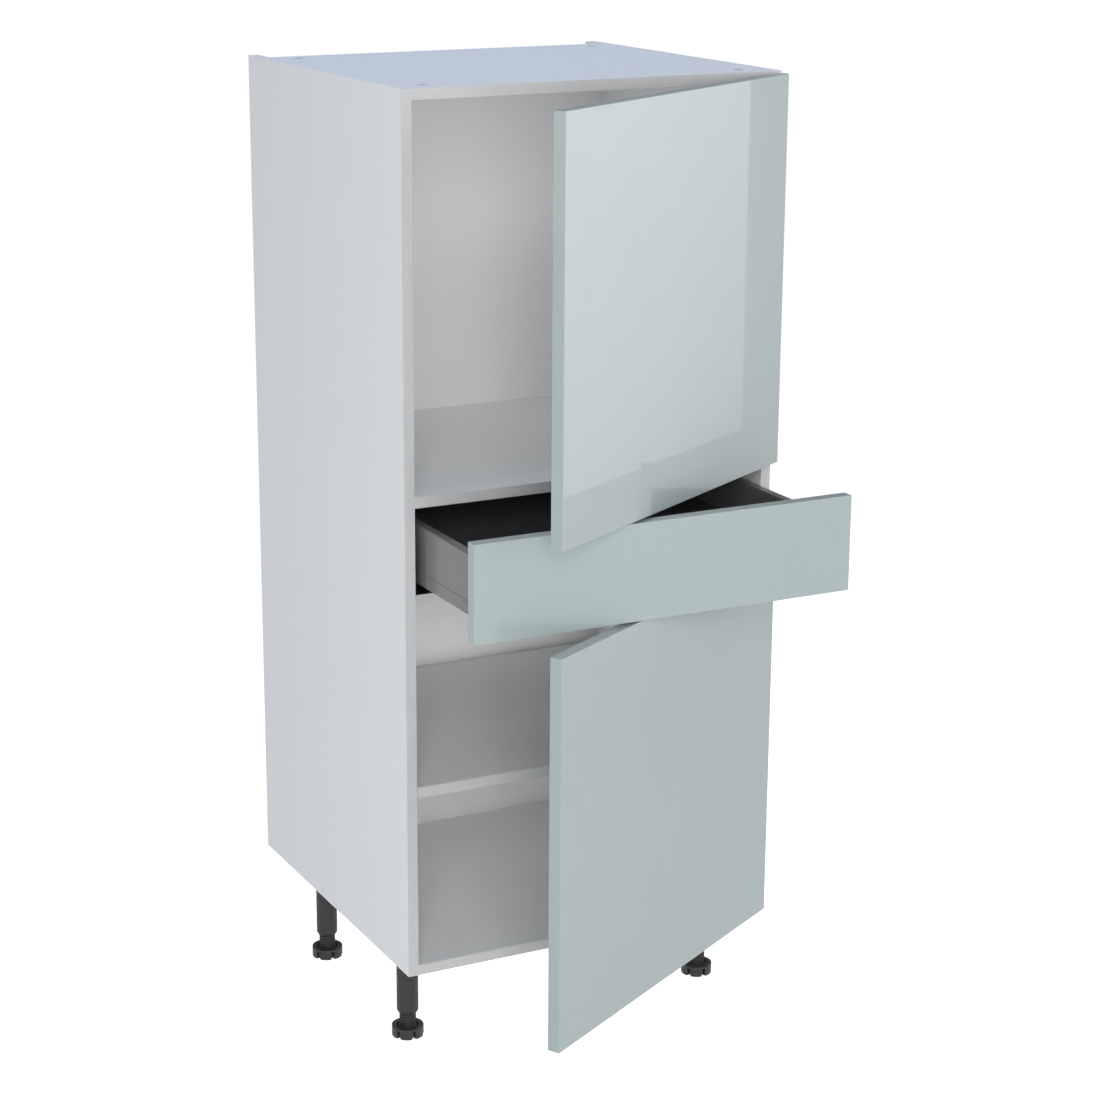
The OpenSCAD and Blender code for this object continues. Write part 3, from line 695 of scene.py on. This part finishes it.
def make_foot():
    """The front left foot: a slotted disc with a dished top, its collar and the threaded stem."""
    low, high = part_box("front_left_foot")
    axis = (low + high) / 2
    radius = (high.x - low.x) / 2
    base = Vector((axis.x, axis.y, 0))
    top = base + along("z", DISC_HEIGHT)
    disc = rod("disc", "z", base, radius, DISC_HEIGHT, 96)
    ease_edges(disc, 0.5 * MM)
    dish_radius = radius - DISH_RIM
    dish_start = top - along("z", DISH_DEPTH)
    cut(disc, rod("dish", "z", dish_start, dish_radius, DISH_DEPTH + MM, 64, dish_radius + 0.6 * MM))
    for turn in range(SLOTS):
        angle = math.radians(FIRST_SLOT + 360 * turn / SLOTS)
        half = SLOT_WIDTH / 2
        slot = block("slot", (dish_radius, -half, -MM), (radius + 2 * MM, half, SLOT_HEIGHT))
        slot.rotation_euler = (0, 0, angle)
        slot.location = base
        mouth = rod("mouth", "z", (0, 0, -MM), 6.4 * MM, 5 * MM, 4, half)
        mouth.rotation_euler = (0, 0, angle)
        mouth.location = base + radius * Vector((math.cos(angle), math.sin(angle), 0))
        cut(disc, settle(slot), settle(mouth))
    collar_height = DISH_DEPTH + MM
    neck = rod("neck", "z", top - along("z", collar_height), COLLAR_RADIUS, collar_height, 64)
    ease_edges(neck, 0.8 * MM, 3)
    stem_start = top - along("z", MM)
    stem = rod("stem", "z", stem_start, STEM_RADIUS, high.z - stem_start.z, 64)
    ease_edges(stem, 0.6 * MM)
    thread = make_thread(axis, DISC_HEIGHT + MM, high.z - 2 * MM)
    return joined("foot", [disc, neck, stem, thread])


def make_legs():
    """Models one leg and foot and copies them to the other three places."""
    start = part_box("front_left_leg")[0]
    tube = make_leg_tube()
    foot = make_foot()
    for corner in ("front_right", "rear_left", "rear_right"):
        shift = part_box(corner + "_leg")[0] - start
        finish_piece(copied(tube, corner + "_tube", shift), corner + "_leg", 30)
        finish_piece(copied(foot, corner + "_screw_foot", shift), corner + "_foot", 30)
    tube.name = "front_left_tube"
    foot.name = "front_left_screw_foot"
    finish_piece(tube, "front_left_leg", 30)
    finish_piece(foot, "front_left_foot", 30)


# ---- small fittings ----

CAM_RADIUS = 7.45 * MM
CAM_DEPTH = 12.1 * MM
SCREW_HEAD_HEIGHT = 1.8 * MM
HINGE_SCREW_HEAD = 3.6 * MM
HINGE_PLATE_THICK = 3 * MM
PLATE_SCREW_REACH = 16 * MM
CUP_FLANGE_THICK = 1.2 * MM
RAIL_FLANGE_THICK = 1.5 * MM
RAIL_SCREW_HEAD = 3.8 * MM
RAIL_SCREW_STEP = 224 * MM
PAD_RADIUS = 4 * MM


def cross_cutter(name, place, axis, reach, width, depth):
    """A cross-shaped bit centred on place, sunk depth deep against the axis."""
    arms = []
    first, second = [letter for letter in "xyz" if letter != axis]
    for long, short in ((first, second), (second, first)):
        half = along(long, reach) + along(short, width) + along(axis, depth)
        arms.append(block(name, Vector(place) - half, Vector(place) + half))
    return arms


def make_cams():
    """The cam locks, each with a cross recess, a pointer notch and an eased rim."""
    low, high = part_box("cam_locks")
    place = Vector((high.x - CAM_RADIUS, low.y + CAM_RADIUS, high.z))
    cam = rod("cam", "z", place - along("z", CAM_DEPTH), CAM_RADIUS, CAM_DEPTH)
    ease_edges(cam, 0.5 * MM, 3)
    cut(cam, *cross_cutter("bit", place, "z", 4.2 * MM, 0.75 * MM, 2 * MM))
    pointer_start = place + Vector((5 * MM, -0.5 * MM, -0.6 * MM))
    pointer_end = place + Vector((9 * MM, 0.5 * MM, MM))
    cut(cam, block("pointer", pointer_start, pointer_end))
    upright = []
    for row in (place.y, high.y - CAM_RADIUS):
        upright.append(copied(cam, "cam", (0, row - place.y, 0)))
        upright.append(mirrored(upright[-1], "cam"))
    hanging = []
    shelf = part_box("fixed_shelf")[0].z
    for height in (low.z, shelf + (low.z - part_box("bottom_panel")[0].z)):
        for source in upright:
            twin = copied(source, "cam")
            twin.scale = (1, 1, -1)
            twin.location = (0, 0, high.z + height)
            hanging.append(face_outwards(settle(twin)))
    bpy.data.objects.remove(cam, do_unlink=True)
    finish_piece(joined("cams", upright + hanging), "cam_locks")


def screw_at(place, axis, facing, head, shank, length):
    """A screw whose pan head stands on place and faces 1 or -1 along the axis.

    Its shank runs the other way.
    """
    place = Vector(place)
    head_top = place + along(axis, facing * SCREW_HEAD_HEIGHT)
    if facing < 0:
        head_start, shank_start = head_top, place
    else:
        head_start, shank_start = place, place - along(axis, length)
    pan = rod("pan", axis, head_start, head, SCREW_HEAD_HEIGHT, 32)
    ease_edges(pan, 0.7 * MM, 4)
    cut(pan, *cross_cutter("bit", head_top, axis, head * 0.55, 0.4 * MM, 1.1 * MM))
    return [pan, rod("shank", axis, shank_start, shank, length, 24)]


def make_screws(node, places, axis, facing, head, shank, length, turn=None):
    """A node's screws, one at each place, turned with the door if turn is given."""
    pieces = []
    for place in places:
        pieces += screw_at(place, axis, facing, head, shank, length)
    screws = joined(node + "_heads", pieces)
    if turn is not None:
        turned(screws, DOOR_AXIS, turn)
    finish_piece(screws, node, 40)


def make_plate_screws():
    low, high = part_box("plate_screws")
    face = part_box("hinge_plates")[1].x - HINGE_PLATE_THICK
    rows = [height + step for door in ("lower", "upper") for height in hinge_heights(door)
            for step in (-PLATE_SCREW_REACH, PLATE_SCREW_REACH)]
    places = [(face, (low.y + high.y) / 2, row) for row in rows]
    make_screws("plate_screws", places, "x", -1, HINGE_SCREW_HEAD, 2.4 * MM, 14 * MM)


def make_cup_screws(door):
    rear = shut_faces()[1]
    across = DOOR_AXIS.x - CUP_FROM_AXIS
    places = [(across, rear + CUP_FLANGE_THICK, height + step) for height in hinge_heights(door)
              for step in (-CUP_SCREW_REACH, CUP_SCREW_REACH)]
    make_screws(door + "_cup_screws", places, "y", 1, HINGE_SCREW_HEAD, 1.85 * MM, 12 * MM, DOOR_OPEN)


def make_runner_screws():
    """Three screws through each rail's wall flange, right side first and then its mirror image."""
    low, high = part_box("runner_screws")
    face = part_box("right_runner_rail")[1].x - RAIL_FLANGE_THICK
    radius = RAIL_SCREW_HEAD
    height = (low.z + high.z) / 2
    rows = [low.y + radius, low.y + radius + RAIL_SCREW_STEP, high.y - radius]
    pieces = []
    for row in rows:
        pieces += screw_at((face, row, height), "x", -1, radius, 1.85 * MM, 13.5 * MM)
    right = joined("rail_screws", pieces)
    finish_piece(joined("rail_screws", [right, mirrored(right, "left_rail_screws")]), "runner_screws", 40)


def make_bumpers(node, turn=None, pull=0.0):
    """Domed bumpers on a front's rear face, where the node has them."""
    rear = shut_faces()[1]
    low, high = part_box(node)
    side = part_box("right_side")
    x = (side[0].x + side[1].x) / 2
    lower_row = low.z + PAD_RADIUS
    places = [(-x, lower_row), (-x, high.z - PAD_RADIUS)]
    if turn is None:
        places = [(-x, lower_row), (x, lower_row)]
    pads = []
    for across, height in places:
        pad = rod("pad", "y", (across, rear - pull, height), PAD_RADIUS, 1.7 * MM, 40)
        pads.append(ease_edges(pad, 1.1 * MM, 5))
    pads = joined(node + "_pads", pads)
    if turn is not None:
        turned(pads, DOOR_AXIS, turn)
    finish_piece(pads, node, 60)


def dress_nodes():
    """Gives each carried-over node the finish that its material slot names."""
    for part in frame["record"]["subparts"]:
        node = NODES[part["node"]]
        for slot in node.material_slots:
            slot.material = MATERIALS[part["material_slot"]]


# how far the edges of each node's own shape are rounded, in millimetres
SOFTENED = {
    "left_side": 0.25, "right_side": 0.25, "top_panel": 0.25, "bottom_panel": 0.25, "back_panel": 0.2,
    "fixed_shelf": 0.25, "lower_shelf": 0.25, "drawer_base": 0.3, "drawer_back": 0.3,
    "left_front_bracket": 0.2, "right_front_bracket": 0.2, "drawer_screws": 0.4, "leg_screws": 0.4,
    "carcass_edging": 0.35, "fixed_shelf_edging": 0.35, "lower_shelf_edging": 0.35,
    "left_cover_cap": 0.3, "right_cover_cap": 0.3, "left_drawer_side": 0.3, "right_drawer_side": 0.3,
    "hinge_plates": 0.5, "upper_hinge_arms": 0.45, "lower_hinge_arms": 0.45,
    "upper_hinge_links": 0.25, "lower_hinge_links": 0.25, "upper_hinge_cups": 0.3, "lower_hinge_cups": 0.3,
    "left_runner_rail": 0.3, "right_runner_rail": 0.3, "left_runner_slide": 0.3, "right_runner_slide": 0.3,
    "left_runner_carrier": 0.3, "right_runner_carrier": 0.3, "leg_sockets": 0.6, "shelf_pins": 0.5,
}


add_camera()
add_world()
add_lights()
add_floor()
dress_nodes()
make_door("upper")
make_door("lower")
make_drawer_front()
make_legs()
make_cams()
make_bumpers("upper_door_bumpers", DOOR_OPEN)
make_bumpers("lower_door_bumpers", DOOR_OPEN)
make_bumpers("drawer_bumpers", None, DRAWER_OUT)
make_plate_screws()
make_cup_screws("upper")
make_cup_screws("lower")
make_runner_screws()
for node, radius in SOFTENED.items():
    softened_copy(node, radius * MM)
bpy.context.scene.view_settings.view_transform = "Standard"
